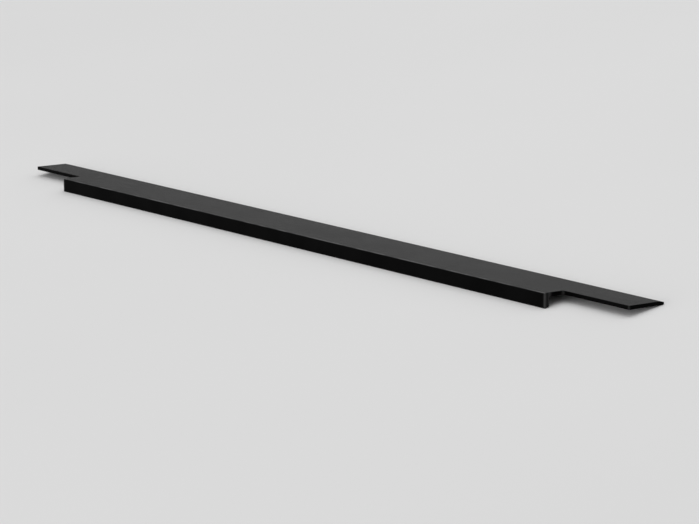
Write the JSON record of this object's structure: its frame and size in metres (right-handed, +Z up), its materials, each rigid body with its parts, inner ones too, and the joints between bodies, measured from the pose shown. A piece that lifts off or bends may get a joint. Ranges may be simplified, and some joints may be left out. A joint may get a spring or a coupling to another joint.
{
  "type": "edge pull handle",
  "caption": "Black L-profile edge pull: a flat strip that seats on a cabinet front's top edge, with a down-turned finger lip between notched ends.",
  "frame": {"origin": "on the floor, under the middle of the pull's box, as it lies unheld", "axes": "+X along the strip, +Y towards the strip's back edge, +Z up; the strip leans back by 10.1 degrees, resting on the lip and on its back edge"},
  "size_m": [0.597, 0.0374, 0.0084],
  "materials": {
    "black_finish": "satin black anodised"
  },
  "bodies": {
    "root": {"edge_pull": "black_finish"}
  },
  "joints": []
}
